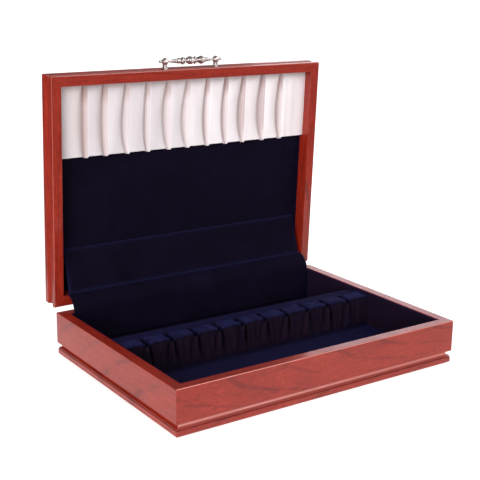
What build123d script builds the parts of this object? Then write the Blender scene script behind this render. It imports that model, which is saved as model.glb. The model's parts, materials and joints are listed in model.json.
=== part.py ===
from build123d import *
import os
from math import cos, radians, sin

# Wooden flatware chest with a hinged lid, standing open.
# Millimetres. Origin at the centre of the underside, X along the length, Y towards the hinges, Z up.

# ---- driving dimensions of the case
LENGTH = 400.0
DEPTH = 288.0
BASE_HEIGHT = 55.0
LID_HEIGHT = 30.0
WALL = 12.7
OPEN_ANGLE = 87.7

# ---- hinge line: behind the back wall, half way up the gap between base and lid
HINGE_OFFSET = 4.3
LID_GAP = 0.4
HINGE_Y = DEPTH / 2 + HINGE_OFFSET
HINGE_Z = BASE_HEIGHT + LID_GAP / 2
HINGE_AXIS = Axis((0, HINGE_Y, HINGE_Z), (1, 0, 0))
LID_Z = BASE_HEIGHT + LID_GAP

# ---- plinth moulding under the base walls
PLINTH_HEIGHT = 15.2
FOOT_HEIGHT = 7.4
FOOT_INSET = 0.8
FOOT_ROUND = 2.0
QUIRK_INSET = 2.4
QUIRK_HEIGHT = 1.0
COVE_FLOOR = 9.3
COVE_LIP_INSET = 1.4
COVE_RADIUS = 4.0
FELT = 1.0
PANEL_THICKNESS = 5.4
REBATE_DEPTH = 5.0
REBATE_PLAY = 0.2
EDGE_ROUND = 0.8

# ---- lid rails and top board
RAIL_HEIGHT = 19.0
BAND_HEIGHT = 6.0
STEP_INSET = 2.0
STEP_END = 7.5
COVE_START = 9.5
TOP_ROUND = 4.0

# ---- linings
LINING = 1.8
LINING_TOP = BASE_HEIGHT - 1.7
FLOOR_LINING = 4.1
FLOOR_Z = FELT + PANEL_THICKNESS
FLOOR_TOP = FLOOR_Z + FLOOR_LINING
INNER_X = LENGTH / 2 - WALL
INNER_Y = DEPTH / 2 - WALL
LINED_X = INNER_X - LINING
LINED_Y = INNER_Y - LINING

# ---- slotted rack across the base
FINGERS = 11
SLOT_WIDTH = 8.4
VELVET = 0.8
RACK_FRONT = 0.0
FINGER_DEPTH = 20.0
RACK_BACK = 40.0
SLOT_DEPTH = 20.4
FINGER_TOP = 51.2
RACK_BAR_TOP = 49.0
FINGER_ROUND = 1.6
RACK_END_PLAY = 0.3

# ---- soft parts of the lid, given as inset from the lid's hinge side and depth from its rim
BAND_START = 186.0
BAND_FRONT = 14.4
LINING_FACE = 17.2
LID_LINING = 1.6
CARD_PLAY = 0.3
RAMP_HALF_WIDTH = 180.0
RAMP_TOP_INSET = 69.0
RAMP_TOP_DEPTH = 16.4
RAMP_FOOT_INSET = 17.0
RAMP_FOOT_DEPTH = -1.5
RAMP_THICKNESS = 2.0

# ---- velvet across the hinge line
COVER_RADIUS = 19.2
COVER_THICKNESS = 1.2
COVER_HALF_WIDTH = 183.0
COVER_START = 98.5
COVER_FOOT = 14.0

# ---- butt hinges
HINGE_X = 125.0
LEAF_LENGTH = 38.0
LEAF_THICKNESS = 1.1
LEAF_REACH = 14.8
KNUCKLE_RADIUS = 3.0
KNUCKLE_LENGTH = 13.0
KNUCKLE_PLAY = 0.15
LEAF_CLEARANCE = 0.4
PIN_RADIUS = 1.25
PIN_FIT = 0.05
PRESS_FIT = 0.01
PIN_PROUD = 0.4
SCREW_X = 12.5
SCREW_INSET = 9.6
SCREW_HEAD_RADIUS = 2.3
SCREW_SHANK_RADIUS = 1.1
SCREW_LENGTH = 9.0

# ---- cast pull on the front rail of the lid
PULL_DEPTH = 14.0
POST_SPACING = 76.2
BALL_STANDOFF = 9.3
BALL_RADIUS = 4.4
POST_RADIUS = 3.1
POST_FOOT_RADIUS = 3.7
POST_FOOT_HEIGHT = 1.6
POST_SEAT = 2.2
POST_SHOULDER = 0.6
POST_BITE = 0.4
BAR_END_RADIUS = 1.5
BAR_MIDDLE_RADIUS = 3.1
ORNAMENT_HALF_LENGTH = 17.6
ORNAMENT_BEADS = 4
BEAD_RADIUS = 4.1
FINIAL_NECK_RADIUS = 1.4
FINIAL_RADIUS = 2.3
FINIAL_REACH = 9.2
HANDLE_SCREW_RADIUS = 2.0
HANDLE_SCREW_HEAD_RADIUS = 3.6
HANDLE_SCREW_HEAD = 1.8

os.makedirs("parts", exist_ok=True)


# ---------------------------------------------------------------- helpers
def block(x0, x1, y0, y1, z0, z1):
    """A box between two corners."""
    centre = ((x0 + x1) / 2, (y0 + y1) / 2, (z0 + z1) / 2)
    return Pos(*centre) * Box(x1 - x0, y1 - y0, z1 - z0)


def rod(start, end, radius):
    """A cylinder from one point to another along X, Y or Z."""
    start, end = Vector(start), Vector(end)
    plane = Plane(origin=start, z_dir=end - start)
    return plane * Cylinder(radius, (end - start).length, align=(Align.CENTER, Align.CENTER, Align.MIN))


def opened(part):
    """Swing a piece of the lid from its closed place to the open one."""
    return part.rotate(HINGE_AXIS, -OPEN_ANGLE)


def lid_y(inset):
    """Y of a closed lid's point at this inset from the hinge side."""
    return DEPTH / 2 - inset


def lid_z(depth):
    """Z of a closed lid's point at this depth from the rim."""
    return LID_Z + depth


def save(name, part):
    """Write one node."""
    part.label = name
    export_step(part, os.path.join("parts", name + ".step"))


def group(solids):
    """Several separate solids as one node."""
    return Compound(children=[item for part in solids for item in part.solids()])


# ---------------------------------------------------------------- mitred frames
SIDES = {
    "front": (0, LENGTH, DEPTH),
    "right": (90, DEPTH, LENGTH),
    "back": (180, LENGTH, DEPTH),
    "left": (270, DEPTH, LENGTH),
}


def mitred_rail(section, side):
    """Run a section of (inset, height) along one side and cut both ends at 45 degrees."""
    turn, length, across = SIDES[side]
    plane = Plane(origin=(-length / 2, -across / 2, 0), x_dir=(0, 1, 0), z_dir=(1, 0, 0))
    rail = extrude(plane * section, length)
    half = length / 2
    outline = Polyline((-half, 0), (half, 0), (half - WALL, WALL), (-half + WALL, WALL), close=True)
    mitre = Pos(0, -across / 2, -1) * extrude(make_face(outline), LENGTH)
    return Rot(0, 0, turn) * (rail & mitre)


def corners_at(section, *points):
    """The section's vertices at the given points."""
    wanted = [Vector(*point) for point in points]
    return [v for v in section.vertices() if min((Vector(v) - w).length for w in wanted) < 1e-4]


def plinth_section():
    outline = Polyline(
        (WALL, 0),
        (FOOT_INSET, 0),
        (FOOT_INSET, FOOT_HEIGHT),
        (QUIRK_INSET, FOOT_HEIGHT),
        (QUIRK_INSET, FOOT_HEIGHT + QUIRK_HEIGHT),
        (COVE_LIP_INSET, FOOT_HEIGHT + QUIRK_HEIGHT),
        (COVE_LIP_INSET, COVE_FLOOR + COVE_RADIUS),
        (COVE_LIP_INSET + COVE_RADIUS, COVE_FLOOR + COVE_RADIUS),
        (COVE_LIP_INSET + COVE_RADIUS, PLINTH_HEIGHT),
        (WALL, PLINTH_HEIGHT),
        close=True,
    )
    section = make_face(outline) - Pos(COVE_LIP_INSET, COVE_FLOOR + COVE_RADIUS) * Circle(COVE_RADIUS)
    section -= Pos(WALL - REBATE_DEPTH / 2, FLOOR_Z / 2) * Rectangle(REBATE_DEPTH, FLOOR_Z)
    return fillet(corners_at(section, (FOOT_INSET, 0)), FOOT_ROUND)


def wall_section():
    height = BASE_HEIGHT - PLINTH_HEIGHT
    section = Pos(WALL / 2, PLINTH_HEIGHT + height / 2) * Rectangle(WALL, height)
    rounded = corners_at(section, (0, PLINTH_HEIGHT), (0, BASE_HEIGHT), (WALL, BASE_HEIGHT))
    return fillet(rounded, EDGE_ROUND)


def lid_section():
    straight = Polyline((WALL, 0), (0, 0), (0, BAND_HEIGHT), (STEP_INSET, STEP_END), (STEP_INSET, COVE_START))
    cove = TangentArc((STEP_INSET, COVE_START), (0, RAIL_HEIGHT), tangent=(0, 1))
    back = Polyline((0, RAIL_HEIGHT), (WALL, RAIL_HEIGHT), (WALL, 0))
    section = make_face((straight + cove + back).edges())
    return fillet(corners_at(section, (0, 0), (WALL, 0)), EDGE_ROUND)


# ---------------------------------------------------------------- butt hinges and their screws
def wood_screw(x, y, z, direction):
    """Countersunk screw with its head flush at z, pointing up (1) or down (-1)."""
    head = Cone(SCREW_SHANK_RADIUS, SCREW_HEAD_RADIUS, LEAF_THICKNESS,
                align=(Align.CENTER, Align.CENTER, Align.MAX))
    shank = rod((0, 0, -LEAF_THICKNESS), (0, 0, -SCREW_LENGTH), SCREW_SHANK_RADIUS)
    flip = 180 if direction > 0 else 0
    return Pos(x, y, z) * Rot(flip, 0, 0) * (head + shank)


def leaf(centre, z0, z1, spans, bore):
    """One leaf: its plate and the knuckles that stand at the given spans of X."""
    half = LEAF_LENGTH / 2
    plate_front = HINGE_Y - LEAF_REACH
    plate_back = HINGE_Y - KNUCKLE_RADIUS - LEAF_CLEARANCE
    part = block(centre - half, centre + half, plate_front, plate_back, z0, z1)
    for x0, x1 in spans:
        part += block(centre + x0, centre + x1, plate_back, HINGE_Y, z0, z1)
        part += rod((centre + x0, HINGE_Y, HINGE_Z), (centre + x1, HINGE_Y, HINGE_Z), KNUCKLE_RADIUS)
    reach = half + 1
    return part - rod((centre - reach, HINGE_Y, HINGE_Z), (centre + reach, HINGE_Y, HINGE_Z), bore)


def hinge(centre):
    """Base leaf, lid leaf (closed), pin, base screws and lid screws of one hinge."""
    half = LEAF_LENGTH / 2
    middle = KNUCKLE_LENGTH / 2
    outer = [(-half, -middle), (middle, half)]
    inner = [(-middle + KNUCKLE_PLAY, middle - KNUCKLE_PLAY)]
    base_leaf = leaf(centre, BASE_HEIGHT - LEAF_THICKNESS, BASE_HEIGHT, outer, PIN_RADIUS + PRESS_FIT)
    lid_leaf = leaf(centre, LID_Z, LID_Z + LEAF_THICKNESS, inner, PIN_RADIUS + PIN_FIT)
    pin_reach = half + PIN_PROUD
    pin = rod((centre - pin_reach, HINGE_Y, HINGE_Z), (centre + pin_reach, HINGE_Y, HINGE_Z), PIN_RADIUS)
    screw_y = HINGE_Y - SCREW_INSET
    base_screws = [wood_screw(centre + x, screw_y, BASE_HEIGHT, -1) for x in (-SCREW_X, SCREW_X)]
    lid_screws = [wood_screw(centre + x, screw_y, LID_Z, 1) for x in (-SCREW_X, SCREW_X)]
    for screw in base_screws:
        base_leaf -= screw
    for screw in lid_screws:
        lid_leaf -= screw
    return base_leaf, lid_leaf, pin, base_screws, lid_screws


def leaf_mortise(centre, z0, z1):
    """The shallow pocket that lets a leaf in flush."""
    half = LEAF_LENGTH / 2
    return block(centre - half, centre + half, HINGE_Y - LEAF_REACH, DEPTH / 2 + 1, z0, z1)


hinges = {"left": hinge(-HINGE_X), "right": hinge(HINGE_X)}

# ---------------------------------------------------------------- base: walls, moulding, bottom
for side in SIDES:
    wall = mitred_rail(wall_section(), side)
    if side == "back":
        for centre, (_, _, _, base_screws, _) in zip((-HINGE_X, HINGE_X), hinges.values()):
            wall -= leaf_mortise(centre, BASE_HEIGHT - LEAF_THICKNESS, BASE_HEIGHT + 1)
            wall -= base_screws
    save("base_" + side + "_wall", wall)
    save("base_" + side + "_moulding", mitred_rail(plinth_section(), side))

panel_edge = WALL - REBATE_DEPTH + REBATE_PLAY
panel_x = LENGTH / 2 - panel_edge
panel_y = DEPTH / 2 - panel_edge
save("base_bottom_panel", block(-panel_x, panel_x, -panel_y, panel_y, FELT, FLOOR_Z))
save("base_felt", block(-panel_x, panel_x, -panel_y, panel_y, 0, FELT))

# ---------------------------------------------------------------- base: velvet-covered card
save("base_floor_lining", block(-LINED_X, LINED_X, -LINED_Y, LINED_Y, FLOOR_Z, FLOOR_TOP))
save("base_front_lining", block(-LINED_X, LINED_X, -INNER_Y, -LINED_Y, FLOOR_Z, LINING_TOP))
save("base_back_lining", block(-LINED_X, LINED_X, LINED_Y, INNER_Y, FLOOR_Z, LINING_TOP))
save("base_left_lining", block(-INNER_X, -LINED_X, -INNER_Y, INNER_Y, FLOOR_Z, LINING_TOP))
save("base_right_lining", block(LINED_X, INNER_X, -INNER_Y, INNER_Y, FLOOR_Z, LINING_TOP))

# ---------------------------------------------------------------- slotted rack
rack_x = LINED_X - RACK_END_PLAY
pitch = 2 * LINED_X / FINGERS
slot_floor = FINGER_TOP - SLOT_DEPTH
block_top = slot_floor - VELVET
finger_width = pitch - SLOT_WIDTH - 2 * VELVET
finger_centres = [(index - (FINGERS - 1) / 2) * pitch for index in range(FINGERS)]


def finger(centre, skin):
    """One finger, grown by the velvet's thickness, with a softly rounded top."""
    half = finger_width / 2 + skin
    front = RACK_FRONT + VELVET - skin
    part = block(centre - half, centre + half, front, RACK_FRONT + FINGER_DEPTH,
                 block_top, FINGER_TOP - VELVET + skin)
    top = part.faces().sort_by(Axis.Z)[-1]
    soft = [edge for edge in top.edges() if edge.center().Y < RACK_FRONT + FINGER_DEPTH - 1]
    return fillet(soft, FINGER_ROUND)


fingers = [finger(centre, 0) for centre in finger_centres]
rack_block = block(-rack_x, rack_x, RACK_FRONT + VELVET, RACK_FRONT + FINGER_DEPTH, FLOOR_TOP, block_top)
rack_bar = block(-rack_x, rack_x, RACK_FRONT + FINGER_DEPTH, RACK_BACK - VELVET,
                 FLOOR_TOP, RACK_BAR_TOP - VELVET)
cover = block(-rack_x, rack_x, RACK_FRONT, RACK_FRONT + FINGER_DEPTH, FLOOR_TOP, slot_floor)
cover += block(-rack_x, rack_x, RACK_FRONT + FINGER_DEPTH - VELVET, RACK_BACK, FLOOR_TOP, RACK_BAR_TOP)
for centre in finger_centres:
    cover += finger(centre, VELVET)
for core in [rack_block, rack_bar] + fingers:
    cover -= core
save("rack_block", rack_block)
save("rack_bar", rack_bar)
save("rack_fingers", group(fingers))
save("rack_velvet", cover)

# ---------------------------------------------------------------- cast pull
pull_z = lid_z(PULL_DEPTH)
pull_y = lid_y(DEPTH) - BALL_STANDOFF
seat_y = lid_y(DEPTH) + POST_SEAT


def turned(points, origin, direction):
    """A turned piece: its outline of (distance along, radius), closed on its own axis."""
    first, last = points[0], points[-1]
    outline = Polyline((first[0], 0), *points, (last[0], 0), close=True)
    plane = Plane(origin=origin, x_dir=direction, z_dir=(0, 0, 1))
    return revolve(plane * make_face(outline), Axis(origin, direction))


def pull_post(x):
    """A turned post from its seat in the rail to the underside of the bar's ball."""
    reach = abs(pull_y - seat_y) - BALL_RADIUS + POST_BITE
    outline = [
        (0, POST_FOOT_RADIUS),
        (POST_SEAT + POST_FOOT_HEIGHT, POST_FOOT_RADIUS),
        (POST_SEAT + POST_FOOT_HEIGHT + POST_SHOULDER, POST_RADIUS),
        (reach, POST_RADIUS),
    ]
    return turned(outline, (x, seat_y, pull_z), (0, -1, 0))


def pull_bar():
    """The bar with its end balls, finials and beaded middle, turned in one piece."""
    half = POST_SPACING / 2
    tip = half + FINIAL_REACH
    neck = tip - FINIAL_RADIUS
    spine = [
        (-neck, 0),
        (-neck, FINIAL_NECK_RADIUS),
        (-half, BAR_END_RADIUS),
        (-ORNAMENT_HALF_LENGTH, BAR_MIDDLE_RADIUS),
        (ORNAMENT_HALF_LENGTH, BAR_MIDDLE_RADIUS),
        (half, BAR_END_RADIUS),
        (neck, FINIAL_NECK_RADIUS),
        (neck, 0),
    ]
    section = make_face(Polyline(*spine, close=True))
    for end in (-1, 1):
        section += Pos(end * half, 0) * Circle(BALL_RADIUS)
        section += Pos(end * neck, 0) * Circle(FINIAL_RADIUS)
    spacing = 2 * (ORNAMENT_HALF_LENGTH - BEAD_RADIUS) / (ORNAMENT_BEADS - 1)
    for index in range(ORNAMENT_BEADS):
        section += Pos(-ORNAMENT_HALF_LENGTH + BEAD_RADIUS + index * spacing, 0) * Circle(BEAD_RADIUS)
    section &= Pos(0, BALL_RADIUS) * Rectangle(3 * tip, 2 * BALL_RADIUS)
    return Pos(0, pull_y, pull_z) * revolve(Plane.XZ * section, Axis.X)


def handle_screw(x):
    """A machine screw from inside the front rail into a post."""
    inner_y = lid_y(DEPTH) + WALL
    tip = (x, seat_y - POST_SEAT - POST_FOOT_HEIGHT, pull_z)
    head_start = (x, inner_y - HANDLE_SCREW_HEAD, pull_z)
    head = rod(head_start, (x, inner_y, pull_z), HANDLE_SCREW_HEAD_RADIUS)
    return rod(head_start, tip, HANDLE_SCREW_RADIUS) + head


post_places = {"left": -POST_SPACING / 2, "right": POST_SPACING / 2}
handle_screws = [handle_screw(x) for x in post_places.values()]
handle_bar = pull_bar()
for (side, x), screw in zip(post_places.items(), handle_screws):
    save("handle_" + side + "_post", opened(pull_post(x) - handle_bar - screw))
save("handle_bar", opened(handle_bar))
save("handle_screws", group([opened(screw) for screw in handle_screws]))

# ---------------------------------------------------------------- lid: rails and top board
for side in SIDES:
    rail = Pos(0, 0, LID_Z) * mitred_rail(lid_section(), side)
    if side == "back":
        for centre, (_, _, _, _, lid_screws) in zip((-HINGE_X, HINGE_X), hinges.values()):
            rail -= leaf_mortise(centre, LID_Z - 1, LID_Z + LEAF_THICKNESS)
            rail -= lid_screws
    if side == "front":
        for x, screw in zip(post_places.values(), handle_screws):
            rail -= screw
            rail -= rod((x, seat_y, pull_z), (x, seat_y - DEPTH, pull_z), POST_FOOT_RADIUS)
    save("lid_" + side + "_rail", opened(rail))

top_board = block(-LENGTH / 2, LENGTH / 2, -DEPTH / 2, DEPTH / 2, lid_z(RAIL_HEIGHT), lid_z(LID_HEIGHT))
top_board = fillet(top_board.edges().filter_by(Axis.Z), EDGE_ROUND)
top_board = fillet(top_board.faces().sort_by(Axis.Z)[-1].edges(), TOP_ROUND)
save("lid_top_board", opened(top_board))

# ---------------------------------------------------------------- lid: soft parts
card_x = INNER_X - CARD_PLAY
lining_board = block(-card_x, card_x, lid_y(DEPTH - WALL - CARD_PLAY), lid_y(WALL + CARD_PLAY),
                     lid_z(LINING_FACE), lid_z(LINING_FACE + LID_LINING))
save("lid_lining_board", opened(lining_board))
knife_band = block(-card_x, card_x, lid_y(DEPTH - WALL - CARD_PLAY), lid_y(BAND_START),
                   lid_z(BAND_FRONT), lid_z(LINING_FACE))
save("lid_knife_band", opened(knife_band))


def ramp_panel():
    """The slanted card over the hinge line, with its face on the line between the two named points."""
    top = Vector(lid_y(RAMP_TOP_INSET), lid_z(RAMP_TOP_DEPTH))
    foot = Vector(lid_y(RAMP_FOOT_INSET), lid_z(RAMP_FOOT_DEPTH))
    along = (foot - top).normalized()
    inward = Vector(-along.Y, along.X) * RAMP_THICKNESS
    corners = [top, foot, foot + inward, top + inward]
    outline = Polyline(*[(corner.X, corner.Y) for corner in corners], close=True)
    plane = Plane(origin=(-RAMP_HALF_WIDTH, 0, 0), x_dir=(0, 1, 0), z_dir=(1, 0, 0))
    ramp = extrude(plane * make_face(outline), 2 * RAMP_HALF_WIDTH)
    below_lining = block(-LENGTH, LENGTH, -DEPTH, DEPTH, 0, lid_z(LINING_FACE))
    return ramp & below_lining


save("lid_ramp_panel", opened(ramp_panel()))


def hinge_cover():
    """Velvet bent round the hinge line from the ramp panel's foot down into the base."""
    outer = COVER_RADIUS + COVER_THICKNESS
    start = radians(COVER_START)
    far = 2 * outer
    wedge_points = [(0, 0), (far * cos(start), far * sin(start)), (-far, far * sin(start)), (-far, 0)]
    wedge = Polyline(*wedge_points, close=True)
    bend = (Circle(outer) - Circle(COVER_RADIUS)) & make_face(wedge)
    drop = HINGE_Z - COVER_FOOT
    hang = Pos(-COVER_RADIUS - COVER_THICKNESS / 2, -drop / 2) * Rectangle(COVER_THICKNESS, drop)
    plane = Plane(origin=(-COVER_HALF_WIDTH, HINGE_Y, HINGE_Z), x_dir=(0, 1, 0), z_dir=(1, 0, 0))
    return extrude(plane * (bend + hang), 2 * COVER_HALF_WIDTH)


save("hinge_cover", hinge_cover())

# ---------------------------------------------------------------- hinges
base_screw_set = []
lid_screw_set = []
for side, (base_leaf, lid_leaf, pin, base_screws, lid_screws) in hinges.items():
    save("hinge_" + side + "_base_leaf", base_leaf)
    save("hinge_" + side + "_lid_leaf", opened(lid_leaf))
    save("hinge_" + side + "_pin", pin)
    base_screw_set += base_screws
    lid_screw_set += [opened(screw) for screw in lid_screws]
save("hinge_base_screws", group(base_screw_set))
save("hinge_lid_screws", group(lid_screw_set))
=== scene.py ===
import json
import math

import bmesh
import bpy
import numpy as np
from mathutils import Matrix, Vector


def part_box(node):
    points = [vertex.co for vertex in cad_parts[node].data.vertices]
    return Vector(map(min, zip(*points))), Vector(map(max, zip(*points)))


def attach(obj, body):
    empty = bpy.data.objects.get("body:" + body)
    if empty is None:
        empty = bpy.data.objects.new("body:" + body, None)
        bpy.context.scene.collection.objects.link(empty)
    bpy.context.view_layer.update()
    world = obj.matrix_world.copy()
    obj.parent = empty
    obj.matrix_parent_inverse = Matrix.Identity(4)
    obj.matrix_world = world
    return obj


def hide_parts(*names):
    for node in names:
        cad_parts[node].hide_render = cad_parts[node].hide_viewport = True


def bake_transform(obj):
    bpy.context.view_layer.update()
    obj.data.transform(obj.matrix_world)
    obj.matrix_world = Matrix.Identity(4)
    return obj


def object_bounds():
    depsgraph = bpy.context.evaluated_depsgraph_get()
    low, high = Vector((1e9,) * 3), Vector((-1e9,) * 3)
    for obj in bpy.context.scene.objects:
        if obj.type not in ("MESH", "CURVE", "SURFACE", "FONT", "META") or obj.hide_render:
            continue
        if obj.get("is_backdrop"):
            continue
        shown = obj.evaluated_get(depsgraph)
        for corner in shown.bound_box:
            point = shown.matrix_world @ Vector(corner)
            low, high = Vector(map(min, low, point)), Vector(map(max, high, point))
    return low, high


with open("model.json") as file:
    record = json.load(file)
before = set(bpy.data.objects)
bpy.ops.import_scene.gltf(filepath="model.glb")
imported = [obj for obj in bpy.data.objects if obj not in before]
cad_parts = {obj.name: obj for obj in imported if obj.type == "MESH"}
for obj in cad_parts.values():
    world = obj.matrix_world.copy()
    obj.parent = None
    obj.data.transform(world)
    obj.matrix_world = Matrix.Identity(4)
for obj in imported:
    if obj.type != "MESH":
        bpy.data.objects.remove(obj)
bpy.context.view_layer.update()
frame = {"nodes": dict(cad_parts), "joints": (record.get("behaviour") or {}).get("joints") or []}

MM = 0.001
nodes = frame["nodes"]


# -------- the lid's own axes

hinge = next(j for j in frame["joints"] if j["name"] == "lid_hinge")
HINGE_Y, HINGE_Z = hinge["pos_m"][1], hinge["pos_m"][2]
OPEN = math.radians(hinge["range_deg"][1])
LID_SHIFT = HINGE_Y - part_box("base_back_wall")[1].y
LID_RISE = HINGE_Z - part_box("base_front_wall")[1].z


def lid_point(x, inset, depth):
    """A point of the lid from its inset (from the hinge side) and its depth (from the rim)."""
    x, inset, depth = np.broadcast_arrays(x, inset, depth)
    back, rise = -LID_SHIFT - inset, LID_RISE + depth
    y = HINGE_Y + back * math.cos(OPEN) + rise * math.sin(OPEN)
    z = HINGE_Z - back * math.sin(OPEN) + rise * math.cos(OPEN)
    return np.stack([x, y, z], axis=-1)


def lid_box(node):
    """Lowest and highest x, inset and depth of a CAD node of the lid."""
    points = np.array([v.co for v in nodes[node].data.vertices])
    y, z = points[:, 1] - HINGE_Y, points[:, 2] - HINGE_Z
    back = y * math.cos(OPEN) - z * math.sin(OPEN)
    rise = y * math.sin(OPEN) + z * math.cos(OPEN)
    own = np.stack([points[:, 0], -LID_SHIFT - back, rise - LID_RISE], axis=1)
    return own.min(0), own.max(0)


# -------- camera and stage

CAMERA_PLACE = (-0.7159, -0.9996, 0.4842)
YAW = math.radians(34.72)
PITCH = math.radians(15.08)
ROLL = math.radians(0.85)
LENS = 78.45


def add(name, data):
    """Puts a new object into the scene."""
    made = bpy.data.objects.new(name, data)
    bpy.context.scene.collection.objects.link(made)
    return made


def make_camera():
    data = bpy.data.cameras.new("camera")
    data.lens = LENS
    data.sensor_width = 36.0
    camera = add("camera", data)
    ahead = Vector((math.sin(YAW) * math.cos(PITCH), math.cos(YAW) * math.cos(PITCH), -math.sin(PITCH)))
    right = ahead.cross(Vector((0, 0, 1))).normalized()
    up = right.cross(ahead)
    turn, lean = math.cos(ROLL), math.sin(ROLL)
    across = turn * right + lean * up
    above = turn * up - lean * right
    camera.matrix_world = Matrix.Translation(CAMERA_PLACE) @ Matrix((across, above, -ahead)).transposed().to_4x4()
    bpy.context.scene.camera = camera


# -------- materials

class Nodes:
    """Builds the nodes of one tree."""

    def __init__(self, tree):
        self.tree = tree

    def node(self, kind, inputs=None, **settings):
        made = self.tree.nodes.new("ShaderNode" + kind)
        for key, value in settings.items():
            setattr(made, key, value)
        for key, value in (inputs or {}).items():
            self.feed(made.inputs[key], value)
        return made

    def feed(self, socket, value):
        """Links a node's output to a socket, or sets the socket to a plain value."""
        if isinstance(value, bpy.types.NodeSocket):
            self.tree.links.new(value, socket)
        else:
            socket.default_value = value

    def coords(self, turn=(0, 0, 0)):
        return self.stretched(self.node("TexCoord").outputs["Object"], turn=turn)

    def stretched(self, source, scale=(1, 1, 1), shift=(0, 0, 0), turn=(0, 0, 0)):
        inputs = {"Vector": source, "Scale": scale, "Location": shift, "Rotation": turn}
        return self.node("Mapping", inputs).outputs[0]

    def noise(self, vector, scale, detail=2.0, rough=0.5, distortion=0.0):
        inputs = {"Vector": vector, "Scale": scale, "Detail": detail, "Roughness": rough, "Distortion": distortion}
        return self.node("TexNoise", inputs).outputs["Fac"]

    def fit(self, value, low, high, new_low, new_high):
        inputs = {0: value, 1: low, 2: high, 3: new_low, 4: new_high}
        return self.node("MapRange", inputs, clamp=True).outputs[0]

    def math(self, operation, a, b):
        return self.node("Math", {0: a, 1: b}, operation=operation).outputs[0]

    def total(self, *parts):
        """The sum of (value, weight) pairs."""
        values = [self.math("MULTIPLY", value, weight) for value, weight in parts]
        total = values[0]
        for value in values[1:]:
            total = self.math("ADD", total, value)
        return total

    def mix(self, factor, a, b, blend="MIX"):
        made = self.node("Mix", data_type="RGBA", blend_type=blend)
        # the colour sockets of a Mix node
        for key, value in ((0, factor), (6, a), (7, b)):
            self.feed(made.inputs[key], value)
        return made.outputs[2]

    def ramp(self, value, *stops):
        made = self.node("ValToRGB", {0: value})
        line = made.color_ramp
        while len(line.elements) < len(stops):
            line.elements.new(0.5)
        for element, (position, colour) in zip(line.elements, stops):
            element.position = position
            element.color = (*colour, 1)
        return made.outputs[0]

    def bump(self, height, strength, distance, normal=None):
        inputs = {"Height": height, "Strength": strength, "Distance": distance}
        if normal is not None:
            inputs["Normal"] = normal
        return self.node("Bump", inputs).outputs[0]


class Shader(Nodes):
    """Builds one node material."""

    def __init__(self, name):
        self.material = bpy.data.materials.new(name)
        self.material.use_nodes = True
        super().__init__(self.material.node_tree)
        self.tree.nodes.clear()
        self.out = self.node("OutputMaterial")

    def surface(self, **inputs):
        named = {key.replace("_", " "): value for key, value in inputs.items()}
        self.feed(self.out.inputs[0], self.node("BsdfPrincipled", named).outputs[0])
        return self.material


ALONG_X, ALONG_Y, ALONG_Z = (0, 0, 0), (0, 0, -math.pi / 2), (0, math.pi / 2, 0)


def cherry(name, grain, shift, painted_highlight, gloss):
    """Red-stained cherry under satin-gloss lacquer.

    The fourth argument is a painted highlight: how strongly a lighter pink line is painted into the stain,
    and the bands (direction, middle, half width) whose crossing holds it; gloss is the lacquer's roughness.
    """
    s = Shader(name)
    own = s.coords(turn=grain)
    # the tree's middle lies outside the board
    heart = (shift[0], shift[1] + 0.045, shift[2] - 0.07)
    board = s.stretched(own, shift=heart, turn=(0, 0.03, 0.11))
    rings = s.node("TexWave", {"Vector": s.stretched(board, scale=(0.16, 1, 1)), "Scale": 40.0, "Distortion": 5.0,
                               "Detail": 3.0, "Detail Scale": 0.30, "Detail Roughness": 0.55},
                   wave_type="RINGS", rings_direction="X", wave_profile="SIN").outputs["Fac"]
    blotch = s.noise(s.stretched(own, scale=(6, 14, 14), shift=shift), 2.2, 4.0, 0.6, 0.8)
    streaks = s.noise(s.stretched(own, scale=(14, 460, 460), shift=shift), 1.6, 5.0, 0.72, 0.3)
    mottle = s.noise(s.stretched(own, scale=(190, 460, 460), shift=shift), 1.0, 4.0, 0.7, 0.5)
    flecks = s.noise(s.stretched(own, scale=(130, 1700, 1700), shift=shift), 1.0, 2.0, 0.6)
    pores = s.fit(flecks, 0.56, 0.70, 0, 1)
    lines = s.math("MULTIPLY", s.fit(rings, 0.90, 1.0, 0, 1), s.fit(blotch, 0.40, 0.60, 0.2, 1.0))
    tone = s.total((lines, 0.12), (streaks, 0.38), (blotch, 0.26), (mottle, 0.36))
    colour = s.ramp(tone, (0.41, (0.345, 0.029, 0.0120)), (0.48, (0.285, 0.0200, 0.0088)),
                    (0.56, (0.225, 0.0138, 0.0062)), (0.68, (0.140, 0.0080, 0.0040)))
    colour = s.mix(s.math("MULTIPLY", pores, 0.55), colour, (0.13, 0.010, 0.006, 1))
    # painted highlight: a lighter pink line mixed into the colour where the bands cross, standing in for the lacquer
    # catching light
    if painted_highlight:
        line, *bands = painted_highlight
        for direction, middle, half in bands:
            along = s.node("VectorMath", {0: s.coords(), 1: direction}, operation="DOT_PRODUCT").outputs["Value"]
            off = s.math("ABSOLUTE", s.math("SUBTRACT", along, middle), 0.0)
            line = s.math("MULTIPLY", s.fit(off, 0.3 * half, half, 1, 0), line)
        colour = s.mix(line, colour, (0.72, 0.26, 0.22, 1))
    height = s.math("SUBTRACT", s.math("MULTIPLY", streaks, 0.5), pores)
    wear = s.noise(own, 55.0, 3.0, 0.6)
    normal = s.bump(height, 0.08, 0.0002)
    lacquer = s.bump(s.noise(own, 160.0, 2.0), 0.03, 0.0006)
    return s.surface(Base_Color=colour, Roughness=s.fit(wear, 0.3, 0.7, 0.30, 0.42), Normal=normal,
                     Specular_IOR_Level=0.22, Coat_Weight=0.34, Coat_Roughness=gloss, Coat_Normal=lacquer)


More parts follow.
